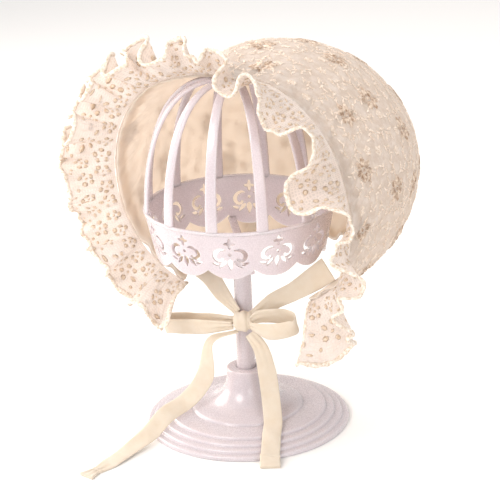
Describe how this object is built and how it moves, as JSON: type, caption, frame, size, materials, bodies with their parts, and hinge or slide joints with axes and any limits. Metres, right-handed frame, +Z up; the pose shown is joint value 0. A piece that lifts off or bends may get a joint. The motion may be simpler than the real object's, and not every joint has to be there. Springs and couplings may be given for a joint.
{
  "type": "baby bonnet on a display stand",
  "caption": "Cream embroidered baby bonnet with a gathered lace ruffle and tape ties in a bow, on a white ribbed plastic hat stand.",
  "frame": {"origin": "centre of the stand's flat underside", "axes": "+Z up along the stand's pole, -Y the way the bonnet faces, +X to the left of the person who would wear it"},
  "size_m": [0.2499, 0.3167, 0.2915],
  "materials": {
    "stand_plastic": "moulded white plastic, soft gloss",
    "embroidered_cotton": "cream cotton with tone-on-tone embroidery",
    "lining_cotton": "plain cream cotton lawn",
    "ruffle_net": "off-white net with tan dot flowers and a corded edge",
    "tie_tape": "cream cotton twill tape"
  },
  "bodies": {
    "root": {"stand_base": "stand_plastic", "stand_pole": "stand_plastic", "stand_cage": "stand_plastic", "bonnet_crown": "embroidered_cotton", "bonnet_lining": "lining_cotton", "front_ruffle": "ruffle_net", "tie_left": "tie_tape", "tie_right": "tie_tape", "bow_loop_left": "tie_tape", "bow_loop_right": "tie_tape", "bow_knot": "tie_tape", "tie_tail_left": "tie_tape", "tie_tail_right": "tie_tape"}
  },
  "joints": []
}
